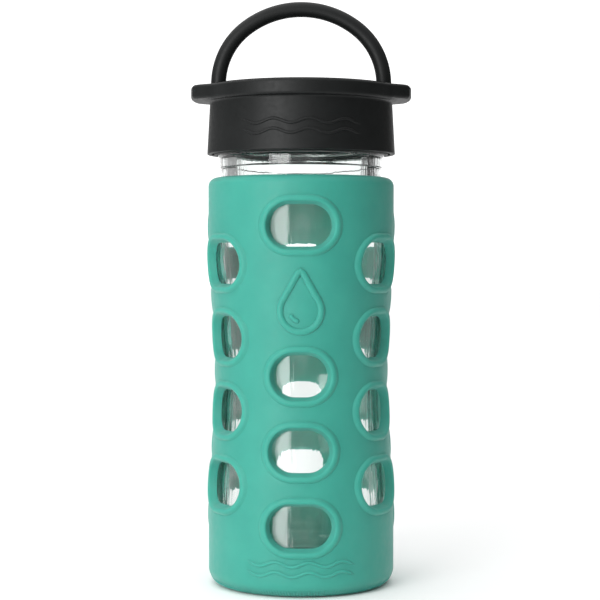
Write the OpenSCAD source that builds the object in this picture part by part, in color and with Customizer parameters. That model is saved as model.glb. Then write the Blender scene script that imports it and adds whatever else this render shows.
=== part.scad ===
// Glass water bottle in a windowed silicone sleeve, closed by a screw cap with a folding carry loop.
// Millimetres. The origin is the centre of the face it stands on, +Z is up, and the front is -Y.

/* [Sleeve] */
// Outside diameter of the sleeve at its widest
sleeve_d = 66; // [64:0.5:68]
// Wall of the sleeve
sleeve_wall = 2.2; // [1.8:0.1:2.6]
// Height of the sleeve
sleeve_h = 144; // [143.4:0.1:144.6]
// How far the waist is drawn in, on the radius
waist_depth = 2.45; // [0:0.05:3]
// Vertical pitch of the windows in one column
window_pitch = 25.65; // [25:0.05:26]
// Height of the middle of the lowest window
first_window_z = 24; // [23:0.5:25]
// Half the height of a window
window_half_h = 7.15; // [6:0.05:7.5]
// Half the width of a window, away from the waist
window_half_w = 10.6; // [9:0.1:10.8]
// Width of the raised rim round each window
rim_w = 3.2; // [2:0.1:3.4]
// Height of the rims above the sleeve
rim_h = 0.9; // [0.4:0.1:1.2]

/* [Glass] */
// Wall of the glass body
glass_wall = 2.7; // [2.2:0.1:3.2]
// Thickness of the glass base
glass_base = 5; // [4:0.5:6]
// Outside diameter of the neck
neck_d = 56.8; // [56.4:0.1:57]
// Diameter of the mouth
mouth_d = 47; // [45:0.5:47.5]
// Height of the rim of the mouth
mouth_z = 166.4; // [166.2:0.1:166.4]

/* [Screw thread] */
// Rise in one turn
thread_lead = 6; // [5.6:0.1:6]
// Turns of thread on the neck
thread_turns = 1.15; // [0.9:0.05:1.15]
// Height of the thread ridges
thread_h = 1.2; // [1:0.05:1.2]

/* [Cap] */
// Diameter of the skirt at its lower edge
skirt_d = 66.8; // [66.4:0.1:67.4]
// Diameter of the skirt where it meets the flange
skirt_top_d = 64.8; // [64.6:0.1:65.4]
// Diameter of the flange
flange_d = 68.4; // [68:0.1:70]
// Thickness of the flange
flange_t = 5.6; // [5.4:0.1:5.8]
// Height of the flat top of the cap
cap_top_z = 176.3; // [176.2:0.1:176.6]
// Length across both ears
ears_l = 78.2; // [77:0.2:80]
// Thickness of an ear
ear_t = 5; // [4.8:0.1:5.4]

/* [Carry loop] */
// Distance between the middles of the loop's legs
loop_w = 58.8; // [58.6:0.1:58.8]
// Height of the top of the loop
loop_top_z = 206.6; // [206.6:0.1:207.3]
// Diameter of the loop's round section
loop_tube_d = 5.4; // [4.8:0.1:5.4]
// Diameter of the steel pivot pins
pin_d = 2; // [1.6:0.1:2.2]

/* [Hidden] */
$fn = 96;
EPS = 0.01;

// Sleeve
sleeve_r = sleeve_d / 2;
base_wall = 2.4;            // sleeve under the glass
base_hole_r = 12;           // drain hole in the sleeve's base
base_fillet = 5.5;          // outside corner of the sleeve's base
top_fillet = 3;             // outside corner of the sleeve's top
waist_z = 74.5;
waist_half = 54;            // the waist fades out this far above and below its middle
waist_steps = 14;           // bands that follow the waist's curve
window_taper = 0.6;         // how much narrower a window's half gets for each millimetre of waist
columns = 6;                // every second column is half a pitch higher and has one window less
windows_in_column = 5;
emblem_z = first_window_z + 3 * window_pitch;
emblem_r = 8;               // round part of the drop-shaped emblem
emblem_bead = 1.8;
emblem_drop = 3.3;          // how far the round part lies under the middle of the place it takes
drop_tip_ratio = 1.5;       // height of a drop's tip: this many radii ...
drop_tip_extra = 3.5;       // ... and this much more
emblem_h = 0.7;

// Glass
fit_gap = 0.05;             // between the glass and the stretched sleeve
glass_z = base_wall + fit_gap;
glass_r = sleeve_r - sleeve_wall - fit_gap;
glass_fillet = 4;           // outside corner of the glass base
punt_r = 21;                // push-up under the base
punt_h = 2;
shoulder_z = 138.5;         // the outside turns in towards the neck here
neck_r = neck_d / 2;
shoulder_fillet = glass_r - neck_r;
mouth_r = mouth_d / 2;
inner_shoulder_z = 135.5;   // the inside narrows from here ...
inner_neck_z = 143;         // ... to the mouth's diameter here
inner_fillet = 6;
bead_z = 152.3;             // transfer bead at the cap's lower edge
bead_tube_r = 1.3;
finish_r = 27;              // wall under the thread
lip_round = 1.5;

// Thread
ridge_half_root = 1.15;
ridge_half_crest = 0.55;
ridge_sink = 0.4;           // how far a ridge's root is sunk into its wall
thread_steps = 40;          // steps in one turn
thread_fade = 36;           // degrees over which each end of a ridge rises out of its wall
thread_z = 157.2;           // lower end of the neck's thread
liner_thread_drop = 1.75;   // the cap's ridge lies this far under the neck's
liner_thread_turns = 0.95;
liner_thread_start = 70;    // degrees

// Cap
skirt_z = 152.3;
skirt_wall = 1.6;
skirt_top_wall = 1.1;
flange_z = cap_top_z - flange_t;
skirt_top_r = skirt_top_d / 2;
flange_r = flange_d / 2;
flange_round = 0.8;
groove_r_in = 26.5;         // the folded loop nests between these radii
groove_r_out = 33.3;
groove_z = 171.3;
top_wall = 2;
groove_floor = 1.4;
ear_round = 1.8;            // rounding of an ear's end, seen from the front
ear_corner = 4.2;           // rounding of an ear's corners, seen from above
ear_root_angle = 27;        // where an ear's side leaves the flange, seen from above
ear_facing = 54;            // the direction that an ear's side faces
ear_root = flange_r * [cos(ear_root_angle), sin(ear_root_angle)];
ear_normal = [cos(ear_facing), sin(ear_facing)];
ear_corner_x = ears_l / 2 - ear_corner;
ear_corner_y = (ear_root * ear_normal - ear_corner - ear_corner_x * ear_normal[0]) / ear_normal[1];
ear_z = cap_top_z - ear_t;
ear_pocket_h = 1.2;         // moulding pocket under each ear
ear_pocket_x = 35.2;
ear_wall = 1.8;

liner_r = 30.95;
liner_top_z = groove_z - groove_floor - fit_gap;
liner_plate = 1.85;
liner_thread_r = 28.75;     // wall under the cap's thread
liner_bottom_z = 151.9;
liner_bead_r = 29.9;        // room round the transfer bead ...
liner_pocket_z = 155.3;     // ... up to here
liner_chamfer = 0.75;
seal_snap = 0.6;            // undercut ring that holds the seal in the liner
seal_snap_gap = 0.05;
seal_t = 1.5;
seal_r_in = 23.3;
seal_r_out = 28.4;

// Carry loop
tube_r = loop_tube_d / 2;
loop_half_w = loop_w / 2;
pivot_z = 174.4;
spring_z = loop_top_z - tube_r - loop_half_w;    // the legs are straight up to here
knuckle_r = 2.9;
knuckle_w = 4.8;
pin_r = pin_d / 2;
pin_running_gap = 0.05;
pin_x_in = 28.3;
pin_end_gap = 0.2;
pin_bore_l = 10;
pin_x_out = ears_l / 2 - 0.6;

// ---- outlines ----

// Points of an arc about [x, y]
function arc(x, y, r, a0, a1, n = 6) =
    [for (i = [0 : n]) let (a = a0 + (a1 - a0) * i / n) [x + r * cos(a), y + r * sin(a)]];

// How far the waist draws the wall in at height z
function waist(z) =
    abs(z - waist_z) < waist_half ? waist_depth * pow(cos(90 * (z - waist_z) / waist_half), 2) : 0;

// The wall of radius r along the waist, drawn in, from height z0 to z1
function waisted(r, z0, z1) =
    [for (i = [0 : waist_steps]) let (z = z0 + (z1 - z0) * i / waist_steps) [r - waist(z), z]];

waist_low = waist_z - waist_half;
waist_high = waist_z + waist_half;

function sleeve_outline() = concat(
    [[base_hole_r, 0]],
    arc(sleeve_r - base_fillet, base_fillet, base_fillet, -90, 0),
    waisted(sleeve_r, waist_low, waist_high),
    arc(sleeve_r - top_fillet, sleeve_h - top_fillet, top_fillet, 0, 90),
    [[neck_r + 2 * fit_gap, sleeve_h]],
    arc(neck_r, shoulder_z, shoulder_fillet + fit_gap, 88, 0),
    waisted(glass_r + fit_gap, waist_high, waist_low),
    arc(glass_r - glass_fillet, glass_z + glass_fillet, glass_fillet + fit_gap, 0, -90),
    [[base_hole_r, base_wall]]);

function glass_outline() = concat(
    [[0, glass_z + punt_h]],
    [for (i = [1 : 5]) [punt_r * i / 5, glass_z + punt_h * (1 + cos(180 * i / 5)) / 2]],
    arc(glass_r - glass_fillet, glass_z + glass_fillet, glass_fillet, -90, 0),
    waisted(glass_r, waist_low, waist_high),
    arc(neck_r, shoulder_z, shoulder_fillet, 0, 90),
    arc(neck_r, bead_z, bead_tube_r, -90, 90, 10),
    [[finish_r, bead_z + bead_tube_r]],
    arc(finish_r - lip_round, mouth_z - lip_round, lip_round, 0, 90),
    arc(mouth_r + lip_round, mouth_z - lip_round, lip_round, 90, 180),
    inner_shoulder(),
    waisted(glass_r - glass_wall, waist_high, waist_low),
    arc(glass_r - glass_wall - inner_fillet, glass_z + glass_base + inner_fillet, inner_fillet, 0, -90),
    [[0, glass_z + glass_base]]);

// The inside of the shoulder, an S-curve from the mouth's radius out to the body's
function inner_shoulder() =
    [for (i = [0 : 8])
        let (t = i / 8, body_r = glass_r - glass_wall)
        [mouth_r + (body_r - mouth_r) * (1 - cos(180 * t)) / 2,
         inner_neck_z + (inner_shoulder_z - inner_neck_z) * t]];

function shell_outline() = concat(
    [[skirt_d / 2, skirt_z], [skirt_top_r, flange_z], [flange_r, flange_z]],
    arc(flange_r - flange_round, cap_top_z - flange_round, flange_round, 0, 90, 4),
    [[groove_r_out, cap_top_z], [groove_r_out, groove_z], [groove_r_in, groove_z],
     [groove_r_in, cap_top_z], [0, cap_top_z], [0, cap_top_z - top_wall],
     [groove_r_in - top_wall, cap_top_z - top_wall],
     [groove_r_in - top_wall, groove_z - groove_floor],
     [skirt_top_r - skirt_top_wall, groove_z - groove_floor], [skirt_d / 2 - skirt_wall, skirt_z]]);

seal_z = mouth_z + fit_gap;
seat_z = liner_top_z - liner_plate;      // underside of the liner's top plate

function liner_outline() = [
    [0, seat_z], [liner_thread_r, seat_z], [liner_thread_r, seal_z - seal_snap_gap],
    [liner_thread_r - seal_snap, seal_z - seal_snap_gap - seal_snap / 2],
    [liner_thread_r - seal_snap, seal_z - seal_snap_gap - seal_snap],
    [liner_thread_r, seal_z - seal_snap_gap - 2 * seal_snap],
    [liner_thread_r, liner_pocket_z], [liner_bead_r, liner_pocket_z - liner_chamfer],
    [liner_bead_r, liner_bottom_z], [liner_r, liner_bottom_z], [liner_r, liner_top_z], [0, liner_top_z]];

// ---- thread ridges ----

// A helical ridge standing out of a wall of radius wall_r: side 1 outwards, -1 inwards
module ridge(wall_r, side, z0, start, turns) {
    steps = ceil(turns * thread_steps);
    sweep = 360 * turns;
    rings = [for (i = [0 : steps])
        let (a = sweep * i / steps,
             fade = min(1, a / thread_fade, (sweep - a) / thread_fade),
             crest = wall_r + side * (thread_h * fade - (1 - fade) * ridge_sink / 2),
             root = wall_r - side * ridge_sink,
             z = z0 + thread_lead * (a + start) / 360,
             section = [[root, -ridge_half_root], [crest, -ridge_half_crest],
                        [crest, ridge_half_crest], [root, ridge_half_root]])
        [for (p = section) [p[0] * cos(a + start), p[0] * sin(a + start), z + p[1]]]];
    order = side > 0 ? [0, 1, 2, 3] : [3, 2, 1, 0];
    points = [for (ring = rings) for (k = order) ring[k]];
    sides = [for (i = [0 : steps - 1]) for (k = [0 : 3])
        let (a = 4 * i + k, b = 4 * i + (k + 1) % 4)
        each [[a, b + 4, a + 4], [a, b, b + 4]]];
    last = 4 * steps;
    polyhedron(points, concat(sides, [[0, 2, 1], [0, 3, 2],
        [last, last + 1, last + 2], [last, last + 2, last + 3]]));
}

// ---- sleeve ----

// A window's outline in its own plane, made wider and higher by grow
module stadium(half_w, half_h, grow = 0) {
    r = half_h + grow;
    straight = half_w - half_h;
    square([2 * straight, 2 * r], center = true);
    for (side = [-1, 1])
        translate([side * straight, 0]) circle(r);
}

// Half the width of the window whose middle is at height z
function half_w_at(z) = window_half_w - window_taper * waist(z);

// Puts flat children on the wall at height z and azimuth turn, and extrudes them out through it
module through_wall(turn, z) {
    rotate([0, 0, turn]) translate([0, -glass_r / 2, z]) rotate([90, 0, 0])
        linear_extrude(sleeve_r) children();
}

// Places every window: odd columns are half a pitch higher, and the emblem takes one place in front
module each_window() {
    for (column = [0 : columns - 1])
        let (odd = column % 2)
        for (row = [0 : windows_in_column - 1 - odd]) {
            $window_z = first_window_z + (row + odd / 2) * window_pitch;
            if (!(column == 0 && $window_z == emblem_z))
                through_wall(column * 360 / columns, $window_z) children();
        }
}

module drop(r) {
    tip = drop_tip_ratio * r + drop_tip_extra;
    tangent = acos(r / tip);
    circle(r);
    polygon([[r * sin(tangent), r * cos(tangent)], [0, tip], [-r * sin(tangent), r * cos(tangent)]]);
}

// A thin skin of height h over the sleeve's waisted wall
module skin(h) {
    rotate_extrude() polygon(concat(
        [[sleeve_r - sleeve_wall / 2, base_fillet + 1]],
        [[sleeve_r + h, base_fillet + 1]],
        waisted(sleeve_r + h, waist_low, waist_high),
        [[sleeve_r + h, sleeve_h - top_fillet], [sleeve_r - sleeve_wall / 2, sleeve_h - top_fillet]],
        waisted(sleeve_r - sleeve_wall / 2, waist_high, waist_low)));
}

module rims() {
    intersection() {
        skin(rim_h);
        each_window() stadium(half_w_at($window_z), window_half_h, rim_w);
    }
}

module emblem() {
    intersection() {
        skin(emblem_h);
        through_wall(0, emblem_z) translate([0, -emblem_drop]) difference() {
            drop(emblem_r);
            drop(emblem_r - emblem_bead);
        }
    }
}

// ---- nodes ----

module glass_bottle() color([0.80, 0.87, 0.85, 0.4]) {
    rotate_extrude() polygon(glass_outline());
    ridge(finish_r, 1, thread_z, 0, thread_turns);
}

module silicone_sleeve() color([0.29, 0.67, 0.60]) difference() {
    union() {
        rotate_extrude() polygon(sleeve_outline());
        rims();
        emblem();
    }
    each_window() stadium(half_w_at($window_z), window_half_h);
}

// One side of an ear's outline, seen from above: side 1 or -1
function ear_side(side) = [
    for (p = concat(arc(ear_corner_x, ear_corner_y, ear_corner, 0, ear_facing),
                    [ear_root, [0, ear_root[1]]]))
    [p[0], side * p[1]]];

module ear() {
    difference() {
        intersection() {
            translate([0, 0, ear_z - 1]) linear_extrude(ear_t + 2) {
                polygon(concat([[0, 0]], ear_side(1)));
                polygon(concat([[0, 0]], ear_side(-1)));
            }
            translate([0, flange_r, 0]) rotate([90, 0, 0]) linear_extrude(2 * flange_r) {
                translate([0, ear_z]) square([ears_l / 2 - ear_round, ear_t]);
                translate([0, ear_z + ear_round]) square([ears_l / 2, ear_t - 2 * ear_round]);
                for (z = [ear_z + ear_round, cap_top_z - ear_round])
                    translate([ears_l / 2 - ear_round, z]) circle(ear_round);
            }
        }
        translate([0, 0, flange_z - 1]) cylinder(r = groove_r_out + EPS, h = flange_t + 2);
        translate([ear_pocket_x, -ear_corner_y, ear_z - 1])
            cube([ears_l / 2 - ear_wall - ear_pocket_x, 2 * ear_corner_y, ear_pocket_h + 1]);
    }
}

module cap_shell() color([0.13, 0.14, 0.14]) {
    difference() {
        union() {
            rotate_extrude() polygon(shell_outline());
            for (turn = [0, 180])
                rotate([0, 0, turn]) ear();
        }
        for (turn = [0, 180])
            rotate([0, 0, turn]) translate([groove_r_out - 1, 0, pivot_z]) rotate([0, 90, 0])
                cylinder(r = pin_r, h = ears_l / 2);
    }
}

module thread_liner() color([0.16, 0.17, 0.17]) {
    rotate_extrude() polygon(liner_outline());
    ridge(liner_thread_r, -1, thread_z - liner_thread_drop, liner_thread_start, liner_thread_turns);
}

module seal_ring() color([0.85, 0.87, 0.86]) {
    translate([0, 0, seal_z]) difference() {
        cylinder(r = seal_r_out, h = seal_t);
        translate([0, 0, -1]) cylinder(r = seal_r_in, h = seal_t + 2);
    }
}

module carry_loop() color([0.13, 0.14, 0.14]) difference() {
    union() {
        translate([0, 0, spring_z]) rotate([90, 0, 0]) rotate_extrude(angle = 180)
            translate([loop_half_w, 0]) circle(tube_r);
        for (side = [-1, 1]) {
            translate([side * loop_half_w, 0, pivot_z]) cylinder(r = tube_r, h = spring_z - pivot_z);
            translate([side * loop_half_w, 0, pivot_z]) rotate([0, 90, 0])
                cylinder(r = knuckle_r, h = knuckle_w, center = true);
        }
    }
    for (turn = [0, 180])
        rotate([0, 0, turn]) translate([pin_x_in - pin_end_gap, 0, pivot_z]) rotate([0, 90, 0])
            cylinder(r = pin_r + pin_running_gap, h = pin_bore_l);
}

module pivot_pin(turn) color([0.75, 0.76, 0.77]) {
    rotate([0, 0, turn]) translate([pin_x_in, 0, pivot_z]) rotate([0, 90, 0])
        cylinder(r = pin_r, h = pin_x_out - pin_x_in);
}

glass_bottle();
silicone_sleeve();
cap_shell();
thread_liner();
seal_ring();
carry_loop();
pivot_pin(180);  // pivot_pin_left
pivot_pin(0);  // pivot_pin_right
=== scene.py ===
import math

import bmesh
import bpy
import numpy as np
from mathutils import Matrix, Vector


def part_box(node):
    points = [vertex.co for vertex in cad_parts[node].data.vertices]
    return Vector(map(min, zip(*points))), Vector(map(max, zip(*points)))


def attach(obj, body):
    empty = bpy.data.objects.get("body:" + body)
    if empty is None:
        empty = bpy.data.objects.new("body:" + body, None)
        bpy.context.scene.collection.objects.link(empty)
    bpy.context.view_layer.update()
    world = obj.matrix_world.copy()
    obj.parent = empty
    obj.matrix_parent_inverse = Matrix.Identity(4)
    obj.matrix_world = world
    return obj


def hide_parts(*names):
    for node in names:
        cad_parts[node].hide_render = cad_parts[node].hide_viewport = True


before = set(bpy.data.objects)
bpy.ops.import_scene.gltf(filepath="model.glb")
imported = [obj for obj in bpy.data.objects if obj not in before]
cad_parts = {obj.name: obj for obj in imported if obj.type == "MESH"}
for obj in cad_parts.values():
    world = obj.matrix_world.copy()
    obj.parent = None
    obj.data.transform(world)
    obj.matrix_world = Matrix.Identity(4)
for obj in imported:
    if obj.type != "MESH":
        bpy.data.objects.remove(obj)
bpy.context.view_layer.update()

# Lengths are in millimetres up to the place where a mesh is made, and MM turns them into metres.
# An angle round the bottle is 0 at the front, which faces -Y, and grows towards +X.
MM = 0.001


# ---- sizes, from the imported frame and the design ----

def node_box(node):
    """Lowest and highest corner of a CAD node, in millimetres."""
    low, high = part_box(node)
    return low / MM, high / MM


# Sleeve
SLEEVE_TOP = node_box("silicone_sleeve")[1].z
SLEEVE_R = 33.0
SLEEVE_WALL = 2.2
SLEEVE_IN_R = SLEEVE_R - SLEEVE_WALL
BASE_WALL = 2.4
BASE_HOLE_R = 12.0
BASE_HOLE_ROUND = 0.5
BASE_FILLET = 5.5
TOP_FILLET = 3.0
TOP_GAP = 0.35          # between the sleeve's top and the neck
TOP_IN_ROUND = 0.6
WAIST_DEPTH = 2.45
WAIST_Z = 74.5
WAIST_HALF = 54.0       # the waist fades out this far above and below its middle

# Windows: every second column is half a pitch higher and has one window less
COLUMNS = 6
COLUMN = 2 * math.pi / COLUMNS
PITCH = 25.65
FIRST_WINDOW_Z = 24.0
WINDOWS = 5
WINDOW_HALF_H = 7.15
WINDOW_HALF_W = 10.6
WINDOW_TAPER = 0.6      # how much narrower a window's half gets for each millimetre of waist
EMBLEM_ROW = 3          # this place in the front column holds the emblem instead of a window
BAND_LOW = FIRST_WINDOW_Z - PITCH / 2
BAND_HIGH = BAND_LOW + WINDOWS * PITCH

# The section across a window's rim: distance outside the opening, height above the sleeve
RIM = [(0, -SLEEVE_WALL), (0.08, -1.95), (0.35, -1.3), (0.68, -0.6), (0.95, 0.02), (1.1, 0.4),
       (1.27, 0.63), (1.5, 0.79), (1.8, 0.88), (2.1, 0.9), (2.4, 0.85), (2.68, 0.72), (2.9, 0.52),
       (3.06, 0.3), (3.18, 0.13), (3.28, 0.02), (3.4, -0.03), (3.54, -0.01), (3.7, 0)]
RIM_SPREAD = 1.14       # how much wider a rim is at its sides than above and below its window
INNER_RIM = [(0, -SLEEVE_WALL), (1.8, -SLEEVE_WALL), (3.7, -SLEEVE_WALL)]

# The mesh of the sleeve's walls
CELL_ACROSS = 24        # steps across a column
CELL_UP = 20            # steps up one pitch
SIDE_ANGLE = 48.0       # degrees of a window's end, above and below its middle, that face its cell's side
EDGE_ROUND = 1.5        # a long edge's points are shared out as on an outline this much larger
INWARD = -0.7           # a face whose normal points outwards by less than this looks at the glass

# Raised marks: bars that are partly sunk into their wall
DROP_R = 7.1
DROP_TIP = 14.4         # from the middle of the round part
DROP_TIP_ROUND = 1.6
DROP_BAR_R = 1.35
DROP_SINK = 0.45
DROP_Z = FIRST_WINDOW_Z + EMBLEM_ROW * PITCH - 3.3
GLINT_R = 3.6
GLINT_BAR_R = 0.9
GLINT_SINK = 0.25
WAVE_HALF_H = 0.8
WAVES = 3.5
WAVE_END = 0.3          # thickness of a wave line at its ends, as a share of its middle's
WAVE_TAPER = 7.0        # how fast a wave line gets there
SLEEVE_WAVE_Z = (8.2, 11.6)
SLEEVE_WAVE_HALF_W = 20.5
SLEEVE_WAVE_BAR_R = 0.65
SLEEVE_WAVE_SINK = 0.2
CAP_WAVE_Z = (158.6, 162.0)
CAP_WAVE_HALF_W = 22.0
CAP_WAVE_BAR_R = 0.55
CAP_WAVE_SINK = 0.1
FOOT_RIBS = 200
FOOT_RIB_RADII = [0.1, 0.24, 0.28, 0.28, 0.28, 0.24, 0.16, 0.06]
FOOT_RIB_SINK = 0.05

# Glass
GLASS_LOW, GLASS_HIGH = node_box("glass_bottle")
FIT_GAP = 0.05          # between the glass and the stretched sleeve
GLASS_R = SLEEVE_IN_R - FIT_GAP
GLASS_WALL = 2.7
GLASS_BASE = 5.0
GLASS_FILLET = 4.0
INNER_FILLET = 6.0
PUNT_R = 21.0           # push-up under the base
PUNT_H = 2.0
HEEL_LOW = 15.0         # the wall starts to lean in here ...
HEEL_HIGH = 33.0        # ... is furthest in from here ...
LEAN_FROM = 60.0        # ... up to here ...
LEAN_TO = 130.0         # ... and is back out here
HEEL_DEPTH = 1.1
SHOULDER_Z = 138.5
SHOULDER_R = 2.35       # the turn from the body to the neck
NECK_LOW = SHOULDER_Z + SHOULDER_R + 0.3
INNER_SHOULDER_Z = 135.5
INNER_NECK_Z = 143.0
NECK_R = GLASS_R - SHOULDER_R
MOUTH_R = 23.5
NECK_BAND_Z = 147.8
NECK_BAND = 0.45        # how much wider the neck is above its band
NECK_BAND_ROUND = 0.4
NECK_BAND_FLANK = 0.45  # the neck widens over this height
BEAD_Z = 152.3
BEAD_R = 1.3
FINISH_R = 27.0         # wall under the thread
LIP_ROUND = 1.5

# Screw thread
THREAD_LEAD = 6.0
THREAD_H = 1.2
THREAD_Z = 157.2        # lower end of the neck's thread
THREAD_TURNS = 1.15
RIDGE_CREST = 0.55      # half the width of a ridge's crest
RIDGE_FLANK = 0.45
RIDGE_FADE = 36.0       # degrees over which each end of a ridge rises out of its wall
LINER_THREAD_DROP = 1.75
LINER_THREAD_START = 70.0
LINER_THREAD_TURNS = 0.95

# Cap
CAP_HIGH = node_box("cap_shell")[1]
SKIRT_Z = node_box("cap_shell")[0].z
SKIRT_R = 33.4
SKIRT_TOP_R = 32.4
SKIRT_WALL = 1.6
SKIRT_TOP_WALL = 1.1
SKIRT_ROUND = 0.3       # outside lower edge of the skirt
SKIRT_IN_ROUND = 0.2
FLANGE_R = 34.2
FLANGE_T = 5.6
FLANGE_ROUND = 1.25
FLANGE_Z = CAP_HIGH.z - FLANGE_T
TOP_WALL = 2.0
GROOVE_IN = 26.5
GROOVE_OUT = 33.3
GROOVE_Z = 171.3
GROOVE_ROUND = 0.8
GROOVE_FLOOR = 1.4
BOSS_ROUND = 0.9        # inner edge of the groove
# The shallow dish in the cap's top: distance from the axis, depth
DISH = [(0.0, 0.5), (6.0, 0.5), (12.0, 0.5), (18.0, 0.48), (21.0, 0.38), (22.6, 0.12), (23.4, 0.02),
        (24.8, 0)]
EAR_T = 5.0
EAR_ROOT_ANGLE = math.radians(27)
EAR_FACING = math.radians(54)
EAR_CORNER = 4.2
EAR_BLEND = 1.6         # how softly an ear grows out of the flange

# Liner and seal
LINER_LOW, LINER_HIGH = node_box("thread_liner")
LINER_PLATE = 1.85
LINER_THREAD_R = 28.75  # wall under the liner's thread
LINER_BEAD_R = 29.9     # room round the bead ...
LINER_POCKET_Z = 155.3  # ... up to here
LINER_CHAMFER = 0.75
LINER_EDGE = 0.3
SNAP = 0.6              # undercut ring that holds the seal
SEAL_LOW, SEAL_HIGH = node_box("seal_ring")
SEAL_IN_R = 23.3
SEAL_ROUND = 0.35

# Carry loop
LOOP_HIGH = node_box("carry_loop")[1]
TUBE_R = 2.7
LOOP_HALF_W = 29.4
LOOP_SIDE_R = 25.0      # the arch turns in on this radius above each leg
SPRING_Z = 177.4        # the legs are straight up to here
PIVOT_Z = 174.4
LEG_BELOW_PIVOT = 0.5
KNUCKLE_R = 2.9
KNUCKLE_HALF_W = 2.4
KNUCKLE_ROUND = 0.5
KNUCKLE_BORE_R = 1.05
PIN_HOLE_R = 1.02


# ---- walls that aren't straight ----

def waist(z):
    """How far the waist draws the walls in at height z."""
    share = (z - WAIST_Z) / WAIST_HALF
    return WAIST_DEPTH * math.cos(math.pi / 2 * share) ** 2 if abs(share) < 1 else 0.0


def lean(z):
    """How far the glass leans in above its foot, and comes back out on the way to the shoulder."""
    if z < HEEL_HIGH:
        share = max(0.0, (z - HEEL_LOW) / (HEEL_HIGH - HEEL_LOW))
        return HEEL_DEPTH * math.sin(math.pi / 2 * share)
    back = min(1.0, max(0.0, (z - LEAN_FROM) / (LEAN_TO - LEAN_FROM)))
    return HEEL_DEPTH * (1 - back * back * (3 - 2 * back))


# ---- mesh helpers ----

def make_piece(name, verts, faces, body, material, replaces=(), sharp=math.radians(40), weld=0.0005):
    """A mesh object from points in millimetres, welded, with outward normals, riding on a body."""
    mesh = bpy.data.meshes.new(name)
    mesh.from_pydata((np.asarray(verts, float) * MM).tolist(), [], faces)
    work = bmesh.new()
    work.from_mesh(mesh)
    bmesh.ops.remove_doubles(work, verts=work.verts, dist=weld * MM)
    bmesh.ops.recalc_face_normals(work, faces=work.faces)
    work.to_mesh(mesh)
    work.free()
    mesh.shade_smooth()
    mesh.set_sharp_from_angle(angle=sharp)
    mesh.materials.append(material)
    piece = bpy.data.objects.new(name, mesh)
    bpy.context.scene.collection.objects.link(piece)
    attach(piece, body)
    if replaces:
        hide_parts(*replaces)
    return piece


def on_cylinder(angle, r, z):
    """The point at an angle round the bottle, a distance from its axis and a height."""
    return (r * math.sin(angle), -r * math.cos(angle), z)


def arc(x, y, r, a0, a1, n=8):
    """Points of an arc about (x, y), angles in degrees."""
    angles = np.radians(np.linspace(a0, a1, n + 1))
    return [(x + r * math.cos(a), y + r * math.sin(a)) for a in angles]


def line(p, q, n):
    """n points after p on the way to q, which is the last of them."""
    return [(p[0] + (q[0] - p[0]) * i / n, p[1] + (q[1] - p[1]) * i / n) for i in range(1, n + 1)]


def whole_turn(n):
    return [2 * math.pi * i / n for i in range(n)]


def tube_faces(rings, count, closed=False):
    """Quads between rings of count points each. A closed tube's last ring joins its first."""
    return [
        [i * count + k, i * count + (k + 1) % count,
         (i + 1) % rings * count + (k + 1) % count, (i + 1) % rings * count + k]
        for i in range(rings if closed else rings - 1)
        for k in range(count)
    ]


def lathe(profile_at, angles):
    """Quads of a profile turned round the axis. profile_at(angle) gives its (r, z) points at an angle."""
    columns = [profile_at(a) for a in angles]
    verts = [on_cylinder(a, r, z) for a, column in zip(angles, columns) for r, z in column]
    m = len(columns[0])
    n = len(angles)
    faces = [
        [i * m + j, (i + 1) % n * m + j, (i + 1) % n * m + j + 1, i * m + j + 1]
        for i in range(n)
        for j in range(m - 1)
    ]
    return verts, faces


def sweep(path, radii, sides, closed=False):
    """A round bar along a path of 3-D points, with one radius for each point."""
    path = [Vector(p) for p in path]
    n = len(path)
    verts = []
    normal = None
    for i, (p, r) in enumerate(zip(path, radii)):
        ahead = path[(i + 1) % n] if closed or i < n - 1 else p
        behind = path[i - 1] if closed or i > 0 else p
        tangent = (ahead - behind).normalized()
        if normal is None:
            normal = tangent.orthogonal().normalized()
        normal = (normal - tangent * normal.dot(tangent)).normalized()
        side = tangent.cross(normal)
        verts += [tuple(p + (normal * math.cos(a) + side * math.sin(a)) * r) for a in whole_turn(sides)]
    faces = tube_faces(n, sides, closed)
    if not closed:
        faces.append(list(range(sides)))
        faces.append([(n - 1) * sides + k for k in range(sides)])
    return verts, faces


def even_sweep(path, radius, sides, closed=False):
    """A round bar of one radius along a path of 3-D points."""
    return sweep(path, [radius] * len(path), sides, closed)


def join(parts):
    """One list of points and faces from several."""
    verts = []
    faces = []
    for part_verts, part_faces in parts:
        faces += [[i + len(verts) for i in face] for face in part_faces]
        verts += part_verts
    return verts, faces


# ---- node helpers ----

def noise(tree, scale, detail, roughness=0.5, along_z=1.0):
    """Noise in object space. Scale is in features for each metre, and along_z is its share along Z."""
    place = tree.nodes.new("ShaderNodeTexCoord")
    mapping = tree.nodes.new("ShaderNodeMapping")
    mapping.inputs["Scale"].default_value = (1, 1, along_z)
    texture = tree.nodes.new("ShaderNodeTexNoise")
    texture.inputs["Scale"].default_value = scale
    texture.inputs["Detail"].default_value = detail
    texture.inputs["Roughness"].default_value = roughness
    tree.links.new(place.outputs["Object"], mapping.inputs["Vector"])
    tree.links.new(mapping.outputs["Vector"], texture.inputs["Vector"])
    return texture.outputs["Fac"]


def spread(tree, source, points, interpolation="LINEAR"):
    """A level that follows a value between two (value, level) points and stays even outside them."""
    (value_a, level_a), (value_b, level_b) = points
    node = tree.nodes.new("ShaderNodeMapRange")
    node.interpolation_type = interpolation
    node.inputs["From Min"].default_value = value_a
    node.inputs["From Max"].default_value = value_b
    node.inputs["To Min"].default_value = level_a
    node.inputs["To Max"].default_value = level_b
    tree.links.new(source, node.inputs["Value"])
    return node.outputs["Result"]


def ramp(tree, source, points):
    """Like spread, but easing in and out."""
    return spread(tree, source, points, "SMOOTHSTEP")


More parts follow.
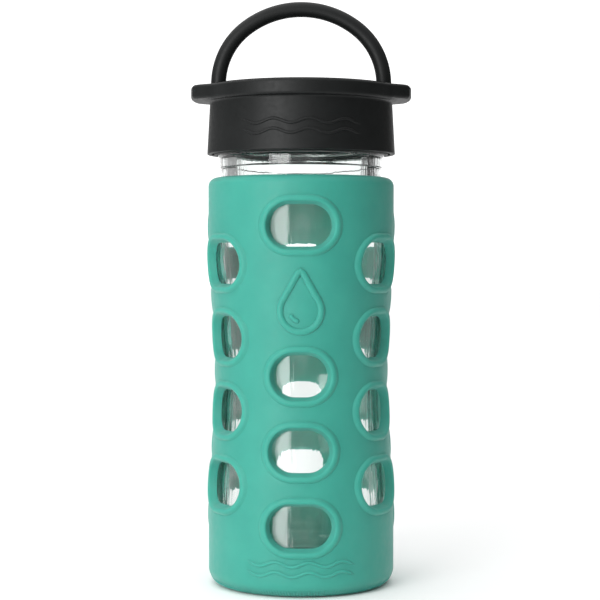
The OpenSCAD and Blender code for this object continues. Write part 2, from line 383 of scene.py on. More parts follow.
def calculate(tree, operation, first, second=0.0):
    """The output of a maths node whose inputs are sockets or numbers."""
    node = tree.nodes.new("ShaderNodeMath")
    node.operation = operation
    for socket, value in zip(node.inputs, (first, second)):
        if isinstance(value, float):
            socket.default_value = value
        else:
            tree.links.new(value, socket)
    return node.outputs["Value"]


def blend(tree, share, low, high):
    """A value that is a socket's at share 0 and a number at share 1."""
    node = tree.nodes.new("ShaderNodeMix")
    tree.links.new(share, node.inputs["Factor"])
    tree.links.new(low, node.inputs["A"])
    node.inputs["B"].default_value = high
    return node.outputs["Result"]


def axes_of(tree, space):
    """The X, Y and Z outputs of a texture space."""
    place = tree.nodes.new("ShaderNodeTexCoord")
    split = tree.nodes.new("ShaderNodeSeparateXYZ")
    tree.links.new(place.outputs[space], split.inputs["Vector"])
    return split.outputs["X"], split.outputs["Y"], split.outputs["Z"]


# ---- materials ----

NOISE_SPAN = (0.3, 0.7)     # nearly all of a noise's values lie between these


def linear(level):
    """The linear level of an 8-bit sRGB one."""
    share = level / 255
    return share / 12.92 if share <= 0.04045 else ((share + 0.055) / 1.055) ** 2.4


def srgb(r, g, b):
    """Linear colour of an 8-bit sRGB one."""
    return (linear(r), linear(g), linear(b))


def shader(name, **values):
    """A material with a Principled shader whose own sockets hold the even values."""
    material = bpy.data.materials.new(name)
    material.use_nodes = True
    bsdf = material.node_tree.nodes["Principled BSDF"]
    for socket, value in values.items():
        bsdf.inputs[socket.replace("_", " ")].default_value = value
    return material, material.node_tree, bsdf


def vary_colour(tree, bsdf, texture, dark, light):
    """Base colour that drifts between two near colours."""
    node = tree.nodes.new("ShaderNodeValToRGB")
    for element, position, colour in zip(node.color_ramp.elements, NOISE_SPAN, (dark, light)):
        element.position = position
        element.color = (*colour, 1)
    tree.links.new(texture, node.inputs["Fac"])
    tree.links.new(node.outputs["Color"], bsdf.inputs["Base Color"])


def vary_roughness(tree, bsdf, texture, low, high):
    """Roughness that drifts between two near values."""
    level = spread(tree, texture, ((NOISE_SPAN[0], low), (NOISE_SPAN[1], high)))
    tree.links.new(level, bsdf.inputs["Roughness"])


def bump(tree, bsdf, texture, depth, strength):
    """Fine relief. Depth is in metres."""
    node = tree.nodes.new("ShaderNodeBump")
    node.inputs["Distance"].default_value = depth
    node.inputs["Strength"].default_value = strength
    tree.links.new(texture, node.inputs["Height"])
    tree.links.new(node.outputs["Normal"], bsdf.inputs["Normal"])


def silicone(name, dark, light):
    """Moulded silicone: satin, a little light through it, a dusty sheen and a fine skin."""
    material, tree, bsdf = shader(
        name, Specular_IOR_Level=0.35, Sheen_Weight=0.12, Sheen_Roughness=0.5,
        Subsurface_Weight=0.4, Subsurface_Scale=0.004, Subsurface_Radius=(0.35, 1.0, 0.85))
    vary_colour(tree, bsdf, noise(tree, 90, 3), dark, light)
    vary_roughness(tree, bsdf, noise(tree, 400, 3), 0.46, 0.58)
    bump(tree, bsdf, noise(tree, 2600, 2), 0.00002, 0.5)
    return material


def moulded_plastic(name, dark, light, low, high):
    """Spark-textured moulded plastic: a fine grain that breaks up the gloss."""
    material, tree, bsdf = shader(name, Specular_IOR_Level=0.26)
    vary_colour(tree, bsdf, noise(tree, 140, 3), dark, light)
    vary_roughness(tree, bsdf, noise(tree, 700, 4), low, high)
    bump(tree, bsdf, noise(tree, 3200, 3, 0.65), 0.00003, 0.6)
    return material


def clear_glass(name):
    """Soda-lime glass with a trace of green and upright ripples. Its shadow is nearly clear."""
    material, tree, bsdf = shader(
        name, Transmission_Weight=1.0, IOR=1.5, Roughness=0.0, Base_Color=(*srgb(251, 254, 253), 1))
    bump(tree, bsdf, noise(tree, 260, 3, along_z=0.12), 0.0004, 0.5)
    ray = tree.nodes.new("ShaderNodeLightPath")
    through = tree.nodes.new("ShaderNodeBsdfTransparent")
    through.inputs["Color"].default_value = (*srgb(244, 250, 248), 1)
    mix = tree.nodes.new("ShaderNodeMixShader")
    tree.links.new(ray.outputs["Is Shadow Ray"], mix.inputs["Fac"])
    tree.links.new(bsdf.outputs["BSDF"], mix.inputs[1])
    tree.links.new(through.outputs["BSDF"], mix.inputs[2])
    tree.links.new(mix.outputs["Shader"], tree.nodes["Material Output"].inputs["Surface"])
    return material


def drawn_steel(name):
    """Drawn stainless wire."""
    material, tree, bsdf = shader(name, Metallic=1.0)
    vary_colour(tree, bsdf, noise(tree, 900, 3), (0.5, 0.5, 0.51), (0.62, 0.62, 0.63))
    vary_roughness(tree, bsdf, noise(tree, 3000, 2), 0.2, 0.34)
    return material


TEAL = silicone("teal_silicone", srgb(53, 152, 137), srgb(58, 158, 142))
# The sleeve's inner faces get a lighter copy of the same silicone: painted light for the inside seen
# through the windows.
TEAL_PAINTED_LIGHTER = silicone("teal_silicone_painted_lighter", srgb(114, 196, 182), srgb(120, 202, 187))
SEAL = silicone("seal_silicone", srgb(222, 226, 224), srgb(230, 233, 231))
CHARCOAL = moulded_plastic("charcoal_plastic", srgb(17, 19, 19), srgb(22, 24, 24), 0.42, 0.52)
BLACK = moulded_plastic("black_plastic", srgb(19, 21, 21), srgb(23, 25, 25), 0.42, 0.50)
GLASS = clear_glass("bottle_glass")
STEEL = drawn_steel("pin_steel")


# ---- sleeve ----

def window_outline(half_w):
    """Points and normals round a window, in step with cell_border, counter-clockwise from lower right."""
    straight = half_w - WINDOW_HALF_H
    bend = math.radians(90 - SIDE_ANGLE) * (WINDOW_HALF_H + EDGE_ROUND)
    edge = 2 * bend + 2 * straight

    def at(degrees, centre):
        """The point of a round end about a centre, with its normal."""
        out, up = math.cos(math.radians(degrees)), math.sin(math.radians(degrees))
        return (centre + WINDOW_HALF_H * out, WINDOW_HALF_H * up, out, up)

    def along_edge(share, up):
        """A point of the upper (up 1) or lower (up -1) edge, share 0 at its right end and 1 at its left."""
        gone = share * edge
        if gone < bend:
            return at(up * (SIDE_ANGLE + (90 - SIDE_ANGLE) * gone / bend), straight)
        if gone > edge - bend:
            return at(up * (180 - SIDE_ANGLE - (90 - SIDE_ANGLE) * (edge - gone) / bend), -straight)
        return at(up * 90, straight - (gone - bend))

    side_steps = [2 * SIDE_ANGLE * i / CELL_UP for i in range(CELL_UP)]
    edge_shares = [i / CELL_ACROSS for i in range(CELL_ACROSS)]
    right = [at(step - SIDE_ANGLE, straight) for step in side_steps]
    top = [along_edge(share, 1) for share in edge_shares]
    left = [at(180 - SIDE_ANGLE + step, -straight) for step in side_steps]
    bottom = [along_edge(1 - share, -1) for share in edge_shares]
    return right + top + left + bottom


def cell_border():
    """Points round a cell, from -1 to 1 both ways, in step with window_outline."""
    right = [(1, -1 + 2 * i / CELL_UP) for i in range(CELL_UP)]
    top = [(1 - 2 * i / CELL_ACROSS, 1) for i in range(CELL_ACROSS)]
    return right + top + [(-x, -y) for x, y in right + top]


def window_cell(column_angle, middle_z, outside):
    """One window and the wall round it: the outer skin with its rim, or the inner skin."""
    if outside:
        section, height = RIM, 0.0
        shares = (0.2, 0.45, 0.72, 1.0)     # places of the rings between the rim's foot and the border
    else:
        section, height = INNER_RIM, -SLEEVE_WALL
        shares = (0.5, 1.0)
    outline = window_outline(WINDOW_HALF_W - WINDOW_TAPER * waist(middle_z))
    verts = []
    for away, proud in section:
        foot = []
        for x, y, out, up in outline:
            z = middle_z + y + away * up
            r = SLEEVE_R - waist(z) + proud
            angle = math.asin((x + away * out * RIM_SPREAD) / r)
            foot.append((angle, z))
            verts.append(on_cylinder(column_angle + angle, r, z))
    for share in shares:
        for (foot_angle, foot_z), (border_x, border_y) in zip(foot, cell_border()):
            angle = foot_angle + (border_x * COLUMN / 2 - foot_angle) * share
            z = foot_z + (middle_z + border_y * PITCH / 2 - foot_z) * share
            verts.append(on_cylinder(column_angle + angle, SLEEVE_R - waist(z) + height, z))
    return verts, tube_faces(len(section) + len(shares), len(outline))


def plain_cell(column_angle, low_z, rows, outside):
    """A stretch of wall with no window, some of a pitch's rows tall."""
    height = 0.0 if outside else -SLEEVE_WALL
    verts = []
    for j in range(rows + 1):
        z = low_z + j * PITCH / CELL_UP
        for i in range(CELL_ACROSS + 1):
            angle = column_angle + COLUMN * (i / CELL_ACROSS - 0.5)
            verts.append(on_cylinder(angle, SLEEVE_R - waist(z) + height, z))
    width = CELL_ACROSS + 1
    faces = [[j * width + i, j * width + i + 1, (j + 1) * width + i + 1, (j + 1) * width + i]
             for j in range(rows) for i in range(CELL_ACROSS)]
    return verts, faces


def column_cells(column, outside):
    """All the cells of one column. An odd one starts and ends with half a cell of plain wall."""
    angle = column * COLUMN
    odd = column % 2
    cells = []
    for row in range(WINDOWS - odd):
        middle_z = FIRST_WINDOW_Z + (row + odd / 2) * PITCH
        if column == 0 and row == EMBLEM_ROW:
            cells.append(plain_cell(angle, middle_z - PITCH / 2, CELL_UP, outside))
        else:
            cells.append(window_cell(angle, middle_z, outside))
    if odd:
        cells.append(plain_cell(angle, BAND_LOW, CELL_UP // 2, outside))
        cells.append(plain_cell(angle, BAND_HIGH - PITCH / 2, CELL_UP // 2, outside))
    return cells


def sleeve_foot():
    """The sleeve's section under the windows, from the outside round to the inside."""
    hole_edge = BASE_HOLE_R + BASE_HOLE_ROUND
    corner_r = GLASS_R - GLASS_FILLET
    corner_z = BASE_WALL + FIT_GAP + GLASS_FILLET
    return (
        [(SLEEVE_R, BAND_LOW)]
        + line((SLEEVE_R, BAND_LOW), (SLEEVE_R, BASE_FILLET), 4)
        + arc(SLEEVE_R - BASE_FILLET, BASE_FILLET, BASE_FILLET, 0, -90, 14)[1:]
        + line((SLEEVE_R - BASE_FILLET, 0), (hole_edge, 0), 6)
        + arc(hole_edge, BASE_HOLE_ROUND, BASE_HOLE_ROUND, -90, -180, 4)[1:]
        + arc(hole_edge, BASE_WALL - BASE_HOLE_ROUND, BASE_HOLE_ROUND, 180, 90, 4)
        + line((hole_edge, BASE_WALL), (corner_r, BASE_WALL), 6)
        + arc(corner_r, corner_z, GLASS_FILLET + FIT_GAP, -90, 0, 10)[1:]
        + line((SLEEVE_IN_R, corner_z), (SLEEVE_IN_R, BAND_LOW), 4)
    )


def sleeve_collar():
    """The sleeve's section over the windows, from the outside round to the inside."""
    round_z = SLEEVE_TOP - TOP_FILLET
    top_in = NECK_R + TOP_GAP
    return (
        [(SLEEVE_R, BAND_HIGH)]
        + line((SLEEVE_R, BAND_HIGH), (SLEEVE_R, round_z), 3)
        + arc(SLEEVE_R - TOP_FILLET, round_z, TOP_FILLET, 0, 90, 12)[1:]
        + line((SLEEVE_R - TOP_FILLET, SLEEVE_TOP), (top_in + TOP_IN_ROUND, SLEEVE_TOP), 3)
        + arc(top_in + TOP_IN_ROUND, SLEEVE_TOP - TOP_IN_ROUND, TOP_IN_ROUND, 90, 180, 5)[1:]
        + [(top_in, NECK_LOW)]
        + arc(NECK_R, SHOULDER_Z, SHOULDER_R + FIT_GAP, 80, 0, 8)
        + [(SLEEVE_IN_R, BAND_HIGH)]
    )


def paint_inside_lighter(sleeve):
    """Gives the faces that look at the glass a lighter copy of the same teal: painted light on the inside
    seen through the windows.
    """
    sleeve.data.materials.append(TEAL_PAINTED_LIGHTER)
    for face in sleeve.data.polygons:
        outwards = Vector((face.center.x, face.center.y, 0)).normalized()
        if face.normal.dot(outwards) < INWARD:
            face.material_index = 1


def make_sleeve():
    """The windowed walls, with the foot and the collar turned in the same angular steps as their cells."""
    cells = []
    for column in range(COLUMNS):
        cells += column_cells(column, True) + column_cells(column, False)
    angles = [COLUMN * (i / CELL_ACROSS - 0.5) for i in range(COLUMNS * CELL_ACROSS)]
    foot, collar = sleeve_foot(), sleeve_collar()
    turned = [lathe(lambda angle: foot, angles), lathe(lambda angle: collar, angles)]
    verts, faces = join(cells + turned)
    sleeve = make_piece("sleeve", verts, faces, "bottle", TEAL, ["silicone_sleeve"],
                        weld=0.002)
    paint_inside_lighter(sleeve)


def on_sleeve(x, z, proud):
    """The point of the sleeve's front that lies x across and z up, standing proud of the wall."""
    r = SLEEVE_R - waist(z)
    return on_cylinder(x / r, r + proud, z)


def drop_outline():
    """Points round a drop with a rounded tip, clockwise from the right end of its round part."""
    turn = math.degrees(math.acos(DROP_R / DROP_TIP))
    bottom = arc(0, 0, DROP_R, 90 - turn, -270 + turn, 64)
    tip = (0, DROP_TIP)
    sides = [line(bottom[-1], tip, 14), line(tip, bottom[0], 14)]
    left, right = [[p for p in side[:-1] if math.dist(p, tip) >= DROP_TIP_ROUND] for side in sides]
    return bottom + left + [(0, DROP_TIP - 0.55 * DROP_TIP_ROUND)] + right


def glint():
    """A short bar inside the drop, with rounded ends, that stands for a highlight."""
    steps = 18
    path = [on_sleeve(x, DROP_Z + y, -GLINT_SINK) for x, y in arc(0, 0, GLINT_R, 195, 265, steps)]
    shares = [min(1, 6 * min(i, steps - i) / steps + 0.12) for i in range(steps + 1)]
    return sweep(path, [GLINT_BAR_R * math.sin(math.pi / 2 * share) for share in shares], 12)


def make_emblem():
    """A raised drop with a small highlight, on the front where a window is left out."""
    path = [on_sleeve(x, DROP_Z + y, -DROP_SINK) for x, y in drop_outline()]
    verts, faces = join([even_sweep(path, DROP_BAR_R, 14, closed=True), glint()])
    make_piece("sleeve_emblem", verts, faces, "bottle", TEAL)


def wave_bar(surface, half_width, z, r):
    """A raised wave line that thins out to its ends. surface(x, z) gives its points."""
    steps = 160
    path = []
    radii = []
    for i in range(steps + 1):
        across = 2 * i / steps - 1
        path.append(surface(across * half_width, z + WAVE_HALF_H * math.sin(math.pi * WAVES * across)))
        radii.append(r * max(WAVE_END, min(1.0, WAVE_TAPER * (1 - abs(across)))))
    return sweep(path, radii, 10)


def make_sleeve_wave():
    """Two wave lines low on the sleeve's front."""
    def surface(x, z):
        return on_sleeve(x, z, -SLEEVE_WAVE_SINK)

    bars = [wave_bar(surface, SLEEVE_WAVE_HALF_W, z, SLEEVE_WAVE_BAR_R) for z in SLEEVE_WAVE_Z]
    verts, faces = join(bars)
    make_piece("sleeve_wave", verts, faces, "bottle", TEAL)


def make_foot_ribs():
    """Fine radial ribs that keep the foot from slipping, round the lower corner."""
    section = arc(SLEEVE_R - BASE_FILLET, BASE_FILLET, BASE_FILLET - FOOT_RIB_SINK, -80, -28, 7)
    paths = [[on_cylinder(a, r, z) for r, z in section] for a in whole_turn(FOOT_RIBS)]
    verts, faces = join([sweep(path, FOOT_RIB_RADII, 6) for path in paths])
    make_piece("sleeve_foot_ribs", verts, faces, "bottle", TEAL, weld=0.0)


# ---- glass ----

def ridge_height(angle, z, low_z, start, turns):
    """How far a helical thread ridge that starts at so many degrees stands out at a point of its wall."""
    degrees = math.degrees(angle) % 360
    best = 0.0
    for k in range(-1, 4):
        gone = degrees + 360 * k - start
        if 0 < gone < 360 * turns:
            gap = abs(z - (low_z + THREAD_LEAD * (gone + start) / 360))
            flank = max(0.0, min(1.0, (RIDGE_CREST + RIDGE_FLANK - gap) / RIDGE_FLANK))
            ends = min(1.0, gone / RIDGE_FADE, (360 * turns - gone) / RIDGE_FADE)
            best = max(best, THREAD_H * ends * flank * flank * (3 - 2 * flank))
    return best


def glass_body():
    """The outside of the glass from the middle of its base up to the shoulder."""
    z0 = GLASS_LOW.z
    profile = [(0.0, z0 + PUNT_H)]
    profile += [(PUNT_R * i / 16, z0 + PUNT_H * (1 + math.cos(math.pi * i / 16)) / 2) for i in range(1, 17)]
    profile += line((PUNT_R, z0), (GLASS_R - GLASS_FILLET, z0), 3)
    profile += arc(GLASS_R - GLASS_FILLET, z0 + GLASS_FILLET, GLASS_FILLET, -90, 0, 12)[1:]
    wall = np.linspace(z0 + GLASS_FILLET, SHOULDER_Z, 90)[1:]
    profile += [(GLASS_R - waist(z) - lean(z), z) for z in wall]
    profile += arc(NECK_R, SHOULDER_Z, SHOULDER_R, 0, 86, 12)[1:]
    return profile


def glass_neck():
    """The outside of the neck: a fine band, and the bead under the cap."""
    band_r = NECK_R + NECK_BAND
    bead_foot = (band_r, BEAD_Z - math.sqrt(BEAD_R ** 2 - NECK_BAND ** 2))
    profile = line((NECK_R, NECK_LOW), (NECK_R, NECK_BAND_Z - NECK_BAND_FLANK), 16)
    profile += arc(band_r - NECK_BAND_ROUND, NECK_BAND_Z, NECK_BAND_ROUND, -60, 0, 4)
    profile += line((band_r, NECK_BAND_Z), bead_foot, 10)
    profile += arc(NECK_R, BEAD_Z, BEAD_R, -math.degrees(math.acos(NECK_BAND / BEAD_R)), 90, 18)[1:]
    return profile


def glass_inside():
    """The lip and the inside of the glass, down to the middle of its floor."""
    lip_z = GLASS_HIGH.z - LIP_ROUND
    inner_r = GLASS_R - GLASS_WALL
    floor_z = GLASS_LOW.z + GLASS_BASE
    corner_z = floor_z + INNER_FILLET
    profile = arc(FINISH_R - LIP_ROUND, lip_z, LIP_ROUND, 0, 90, 8)[1:]
    profile += arc(MOUTH_R + LIP_ROUND, lip_z, LIP_ROUND, 90, 180, 8)
    profile += [(MOUTH_R, z) for z in np.linspace(lip_z, INNER_NECK_Z, 8)[1:]]
    for i in range(1, 21):
        share = i / 20
        r = MOUTH_R + (inner_r - MOUTH_R) * (1 - math.cos(math.pi * share)) / 2
        profile.append((r, INNER_NECK_Z + (INNER_SHOULDER_Z - INNER_NECK_Z) * share))
    wall = np.linspace(INNER_SHOULDER_Z, corner_z, 90)[1:]
    profile += [(inner_r - waist(z) - lean(z), z) for z in wall]
    profile += arc(inner_r - INNER_FILLET, corner_z, INNER_FILLET, 0, -90, 12)[1:]
    profile += line((inner_r - INNER_FILLET, floor_z), (0.0, floor_z), 12)
    return profile


def make_glass():
    """The bottle as one closed skin, with the thread ridge on its finish."""
    below, above = glass_body() + glass_neck(), glass_inside()
    finish = np.linspace(BEAD_Z + BEAD_R + 0.25, GLASS_HIGH.z - LIP_ROUND, 42)

    def profile_at(angle):
        ridge = [(FINISH_R + ridge_height(angle, z, THREAD_Z, 0, THREAD_TURNS), z) for z in finish]
        return below + ridge + above

    verts, faces = lathe(profile_at, whole_turn(180))
    make_piece("glass", verts, faces, "bottle", GLASS, ["glass_bottle"],
               sharp=math.radians(60), weld=0.001)


# ---- cap ----

def smooth_max(a, b, k):
    """The larger of two lengths, rounded over a length k where they meet."""
    share = max(k - abs(a - b), 0.0) / k
    return max(a, b) + share * share * k / 4


def flange_outline(angle):
    """Radius of the flange with its two ears, seen from above."""
    out, across = abs(math.sin(angle)), abs(math.cos(angle))
    if math.atan2(across, out) >= EAR_FACING:
        return FLANGE_R
    reach = FLANGE_R * math.cos(EAR_FACING - EAR_ROOT_ANGLE)
    side = reach / (math.cos(EAR_FACING) * out + math.sin(EAR_FACING) * across)
    end = CAP_HIGH.x / max(out, 1e-6)
    ear = -smooth_max(-side, -end, EAR_CORNER)
    return smooth_max(FLANGE_R, min(ear, CAP_HIGH.x), EAR_BLEND)


def cap_angles():
    """A whole turn, in finer steps at the edges of the ears."""
    steps = 240
    angles = []
    for i in range(steps):
        a = 360 * i / steps
        angles += [a, a + 0.5, a + 1.0] if 60 <= a % 180 <= 120 else [a]
    return [math.radians(a) for a in angles]


def cap_top():
    """The cap's top from its middle to the outer edge of the groove."""
    top = CAP_HIGH.z
    floor_z = GROOVE_Z + GROOVE_ROUND
    profile = [(r, top - depth) for r, depth in DISH]
    profile += arc(GROOVE_IN - BOSS_ROUND, top - BOSS_ROUND, BOSS_ROUND, 90, 0, 6)
    profile += line((GROOVE_IN, top - BOSS_ROUND), (GROOVE_IN, floor_z), 4)
    profile += arc(GROOVE_IN + GROOVE_ROUND, floor_z, GROOVE_ROUND, 180, 270, 5)[1:]
    profile += line((GROOVE_IN + GROOVE_ROUND, GROOVE_Z), (GROOVE_OUT - GROOVE_ROUND, GROOVE_Z), 4)
    profile += arc(GROOVE_OUT - GROOVE_ROUND, floor_z, GROOVE_ROUND, 270, 360, 5)[1:]
    profile += line((GROOVE_OUT, floor_z), (GROOVE_OUT, top - 0.3), 4)
    profile += [(GROOVE_OUT + 0.08, top - 0.1), (GROOVE_OUT + 0.25, top)]
    return profile


def cap_skirt():
    """The skirt from its fillet under the flange, round its lower edge and back to the cap's middle."""
    fillet_r = SKIRT_TOP_R + 0.04
    edge_r = SKIRT_R - SKIRT_WALL
    inner_top = GROOVE_Z - GROOVE_FLOOR
    boss_r = GROOVE_IN - TOP_WALL
    profile = [(SKIRT_TOP_R + 0.9, FLANGE_Z), (SKIRT_TOP_R + 0.35, FLANGE_Z - 0.12),
               (SKIRT_TOP_R + 0.1, FLANGE_Z - 0.4), (fillet_r, FLANGE_Z - 0.9)]
    profile += line((fillet_r, FLANGE_Z - 0.9), (SKIRT_R - 0.02, SKIRT_Z + 0.35), 12)
    profile += arc(SKIRT_R - SKIRT_ROUND, SKIRT_Z + SKIRT_ROUND, SKIRT_ROUND, 0, -90, 5)[1:]
    profile += arc(edge_r + SKIRT_IN_ROUND, SKIRT_Z + SKIRT_IN_ROUND, SKIRT_IN_ROUND, -90, -180, 4)
    profile += line((edge_r, SKIRT_Z + SKIRT_IN_ROUND), (SKIRT_TOP_R - SKIRT_TOP_WALL, inner_top), 6)
    profile += [(boss_r, inner_top), (boss_r, CAP_HIGH.z - TOP_WALL), (0.0, CAP_HIGH.z - TOP_WALL)]
    return profile


def flange_rim(angle, from_r, to_r):
    """The flange's section, from a radius on the cap's top, round its rim, to one on its underside."""
    reach = flange_outline(angle)
    ear_share = max(0.0, min(1.0, (reach - FLANGE_R) / (CAP_HIGH.x - FLANGE_R)))
    thick = FLANGE_T + (EAR_T - FLANGE_T) * min(1.0, 3 * ear_share)
    top, low = CAP_HIGH.z, CAP_HIGH.z - thick
    round_r = reach - FLANGE_ROUND
    profile = line((from_r, top), (round_r, top), 4)[:-1]
    profile += arc(round_r, top - FLANGE_ROUND, FLANGE_ROUND, 90, 0, 7)
    profile += line((reach, top - FLANGE_ROUND), (reach, low + FLANGE_ROUND), 4)
    profile += arc(round_r, low + FLANGE_ROUND, FLANGE_ROUND, 0, -90, 7)[1:]
    profile += line((round_r, low), (to_r, low), 4)[:-1]
    return profile


def make_cap_shell():
    """The skirt, the flange with its ears and the grooved top, as one closed skin."""
    top, skirt = cap_top(), cap_skirt()

    def profile_at(angle):
        return top + flange_rim(angle, top[-1][0], skirt[0][0]) + skirt

    verts, faces = lathe(profile_at, cap_angles())
    shell = make_piece("cap_shell_moulded", verts, faces, "cap", CHARCOAL, ["cap_shell"])
    drill_pin_holes(shell)


def drill_pin_holes(shell):
    """Cuts the two pivot holes from the ears' ends into the groove."""
    ends = (GROOVE_OUT - 1.0, CAP_HIGH.x + 2.0)
    bars = [even_sweep([(side * x, 0, PIVOT_Z) for x in ends], PIN_HOLE_R, 32) for side in (-1, 1)]
    verts, faces = join(bars)
    cutter = make_piece("cutter", verts, faces, "cap", CHARCOAL)
    cut = shell.modifiers.new("holes", "BOOLEAN")
    cut.object = cutter
    cut.operation = "DIFFERENCE"
    cut.solver = "EXACT"
    bpy.context.view_layer.update()
    evaluated = shell.evaluated_get(bpy.context.evaluated_depsgraph_get())
    mesh = bpy.data.meshes.new_from_object(evaluated)
    shell.modifiers.clear()
    shell.data = mesh
    bpy.data.objects.remove(cutter)


def make_cap_wave():
    """Two raised wave lines round the front of the skirt."""
    def on_skirt(x, z):
        share = (z - SKIRT_Z) / (FLANGE_Z - SKIRT_Z)
        r = SKIRT_R + (SKIRT_TOP_R - SKIRT_R) * share
        return on_cylinder(x / r, r - CAP_WAVE_SINK, z)

    bars = [wave_bar(on_skirt, CAP_WAVE_HALF_W, z, CAP_WAVE_BAR_R) for z in CAP_WAVE_Z]
    verts, faces = join(bars)
    make_piece("cap_wave", verts, faces, "cap", CHARCOAL)


def make_liner():
    """The cap's inner cup: a plate over the seal, the thread, and room for the bead."""
    low, high = LINER_LOW.z, LINER_HIGH.z
    outer_r = LINER_HIGH.x
    seat_z = high - LINER_PLATE
    snap_z = GLASS_HIGH.z
    below_snap = snap_z - 2 * SNAP
    top = [(0.0, seat_z)] + line((0, seat_z), (LINER_THREAD_R, seat_z), 10)
    top += [(LINER_THREAD_R, snap_z), (LINER_THREAD_R - SNAP, snap_z - SNAP / 2),
            (LINER_THREAD_R - SNAP, snap_z - SNAP), (LINER_THREAD_R, below_snap)]
    threaded = np.linspace(below_snap - 0.2, LINER_POCKET_Z, 36)
    pocket = [(LINER_BEAD_R, LINER_POCKET_Z - LINER_CHAMFER), (LINER_BEAD_R, low + LINER_EDGE),
              (LINER_BEAD_R + LINER_EDGE, low), (outer_r - LINER_EDGE, low), (outer_r, low + LINER_EDGE)]
    pocket += line((outer_r, low + LINER_EDGE), (outer_r, high), 6)
    pocket += line((outer_r, high), (0.0, high), 8)
    thread_low = THREAD_Z - LINER_THREAD_DROP

    def ridge(angle, z):
        return ridge_height(angle, z, thread_low, LINER_THREAD_START, LINER_THREAD_TURNS)

    def profile_at(angle):
        return top + [(LINER_THREAD_R - ridge(angle, z), z) for z in threaded] + pocket

    verts, faces = lathe(profile_at, whole_turn(180))
    make_piece("liner", verts, faces, "cap", BLACK, ["thread_liner"], weld=0.001)


def make_seal():
    """The gasket over the rim of the mouth."""
    in_r, out_r = SEAL_IN_R + SEAL_ROUND, SEAL_HIGH.x - SEAL_ROUND
    low, high = SEAL_LOW.z + SEAL_ROUND, SEAL_HIGH.z - SEAL_ROUND
    corners = [(out_r, low, -90), (out_r, high, 0), (in_r, high, 90), (in_r, low, 180)]
    section = [p for x, y, start in corners for p in arc(x, y, SEAL_ROUND, start, start + 90, 4)]
    section.append(section[0])
    verts, faces = lathe(lambda angle: section, whole_turn(144))
    make_piece("seal", verts, faces, "seal", SEAL, ["seal_ring"])


# ---- carry loop ----

def loop_path():
    """A three-centred arch: straight legs, two tight side arcs and a flatter crown."""
    foot_z = PIVOT_Z - LEG_BELOW_PIVOT
    rise = LOOP_HIGH.z - TUBE_R - SPRING_Z
    side_x = LOOP_HALF_W - LOOP_SIDE_R
    crown_r = (side_x ** 2 + rise ** 2 - LOOP_SIDE_R ** 2) / (2 * (rise - LOOP_SIDE_R))
    crown_z = SPRING_Z + rise - crown_r
    turn = math.degrees(math.atan2(SPRING_Z - crown_z, side_x))
    path = line((LOOP_HALF_W, foot_z), (LOOP_HALF_W, SPRING_Z), 4)[:-1]
    path += arc(side_x, SPRING_Z, LOOP_SIDE_R, 0, turn, 24)
    path += arc(0, crown_z, crown_r, turn, 180 - turn, 40)[1:]
    path += arc(-side_x, SPRING_Z, LOOP_SIDE_R, 180 - turn, 180, 24)[1:]
    path += line((-LOOP_HALF_W, SPRING_Z), (-LOOP_HALF_W, foot_z), 4)
    return [(x, 0.0, z) for x, z in path]


def knuckle(side):
    """A short round barrel along X, bored for the pin, at the foot of a leg."""
    round_r, round_z = KNUCKLE_R - KNUCKLE_ROUND, KNUCKLE_HALF_W - KNUCKLE_ROUND
    section = [(KNUCKLE_BORE_R, -KNUCKLE_HALF_W), (round_r, -KNUCKLE_HALF_W)]
    section += arc(round_r, -round_z, KNUCKLE_ROUND, -90, 0, 4)[1:]
    section += arc(round_r, round_z, KNUCKLE_ROUND, 0, 90, 4)
    section += [(KNUCKLE_BORE_R, KNUCKLE_HALF_W), (KNUCKLE_BORE_R, -KNUCKLE_HALF_W)]
    verts, faces = lathe(lambda angle: section, whole_turn(40))
    return [(side * LOOP_HALF_W + z, x, PIVOT_Z + y) for x, y, z in verts], faces


def make_loop():
    """The round bar and its two knuckles."""
    verts, faces = join([even_sweep(loop_path(), TUBE_R, 28), knuckle(-1), knuckle(1)])
    make_piece("loop", verts, faces, "handle", BLACK, ["carry_loop"])


def dress_pins():
    """The CAD's own pins are shown, in steel."""
    for pin in ("pivot_pin_left", "pivot_pin_right"):
        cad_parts[pin].data.materials.clear()
        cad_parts[pin].data.materials.append(STEEL)


# ---- studio, in metres ----

def make_camera():
    """Level with the middle of the bottle and nearly straight in front of it."""
    distance = 0.592
    height = 0.1151
    turn = math.radians(0.4)
    aim = Vector((-0.0004, 0, 0.1006))
    data = bpy.data.cameras.new("camera")
    data.sensor_width = 36.0
    data.lens = 99.5
    camera = bpy.data.objects.new("camera", data)
    bpy.context.scene.collection.objects.link(camera)
    camera.location = (distance * math.sin(turn) + aim.x, -distance * math.cos(turn), height)
    camera.rotation_euler = (aim - camera.location).to_track_quat("-Z", "Y").to_euler()
    bpy.context.scene.camera = camera


def make_softbox(name, azimuth, height, distance, width, tall, power):
    """An area light facing the axis. Azimuth is in degrees, 0 in front and negative to the left."""
    data = bpy.data.lights.new(name, "AREA")
    data.shape = "RECTANGLE"
    data.size = width
    data.size_y = tall
    data.energy = power
    lamp = bpy.data.objects.new(name, data)
    bpy.context.scene.collection.objects.link(lamp)
    lamp.location = on_cylinder(math.radians(azimuth), distance, height)
    lamp.rotation_euler = (Vector((0, 0, height)) - lamp.location).to_track_quat("-Z", "Y").to_euler()


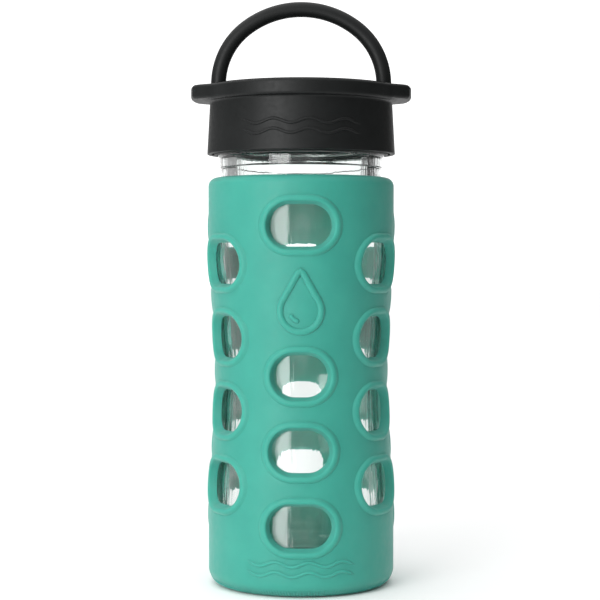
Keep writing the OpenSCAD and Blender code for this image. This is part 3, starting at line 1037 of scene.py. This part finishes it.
def make_floor():
    """A pale floor with painted light: white behind the object like a pool of light, painted shade of light
    grey in front on the left and darker on the right.
    """
    half_size = 6.0
    below = -0.0002         # just under the object's foot
    white = 0.98
    edge_half_w = 0.12      # the white's near edge runs straight across this far to each side ...
    edge_slope = 1.65       # ... and then runs back as steeply as this
    material, tree, bsdf = shader("studio_floor", Specular_IOR_Level=0.1)
    x, y, _ = axes_of(tree, "Object")
    aside = calculate(tree, "MAXIMUM", calculate(tree, "ABSOLUTE", x), edge_half_w)
    behind = calculate(tree, "SUBTRACT", y, calculate(tree, "MULTIPLY", aside, edge_slope))
    # Painted shade in front of the object, darker on the right, and a painted pool of white light behind
    # it.
    front = ramp(tree, x, ((-0.08, 0.62), (0.06, 0.34)))
    painted_floor_light = blend(tree, ramp(tree, behind, ((-0.60, 0.0), (-0.22, 1.0))), front, white)
    tree.links.new(painted_floor_light, bsdf.inputs["Base Color"])
    vary_roughness(tree, bsdf, noise(tree, 30, 2), 0.8, 0.9)
    corners = [(half_size * x, half_size * y, below) for x, y in ((-1, -1), (1, -1), (1, 1), (-1, 1))]
    mesh = bpy.data.meshes.new("floor")
    mesh.from_pydata(corners, [], [[0, 1, 2, 3]])
    mesh.materials.append(material)
    floor = bpy.data.objects.new("floor", mesh)
    bpy.context.scene.collection.objects.link(floor)


def make_world():
    """White behind the object, bright overhead and behind the camera, and darkest on the right."""
    white = 1.3
    world = bpy.data.worlds.new("studio")
    bpy.context.scene.world = world
    world.use_nodes = True
    tree = world.node_tree
    x, y, z = axes_of(tree, "Generated")
    around = ramp(tree, x, ((-0.7, 0.33), (0.8, 0.06)))
    overhead = ramp(tree, z, ((0.3, 0.0), (0.85, 1.3)))
    overhead = calculate(tree, "MULTIPLY", overhead, ramp(tree, x, ((-0.1, 1.1), (0.7, 0.6))))
    level = blend(tree, ramp(tree, y, ((0.84, 0.0), (0.965, 1.0))), around, white)
    behind_camera = ramp(tree, y, ((-0.97, 0.55), (-0.84, 0.0)))
    total = calculate(tree, "ADD", calculate(tree, "ADD", level, overhead), behind_camera)
    background = tree.nodes["Background"]
    tree.links.new(total, background.inputs["Strength"])
    background.inputs["Color"].default_value = (1, 1, 1, 1)


def make_studio():
    make_camera()
    make_world()
    make_floor()
    make_softbox("key", azimuth=-30.5, height=0.186, distance=0.45, width=0.235, tall=0.368, power=1.42)
    bpy.context.scene.view_settings.view_transform = "Standard"


make_studio()
make_sleeve()
make_emblem()
make_sleeve_wave()
make_foot_ribs()
make_glass()
make_cap_shell()
make_cap_wave()
make_liner()
make_seal()
make_loop()
dress_pins()
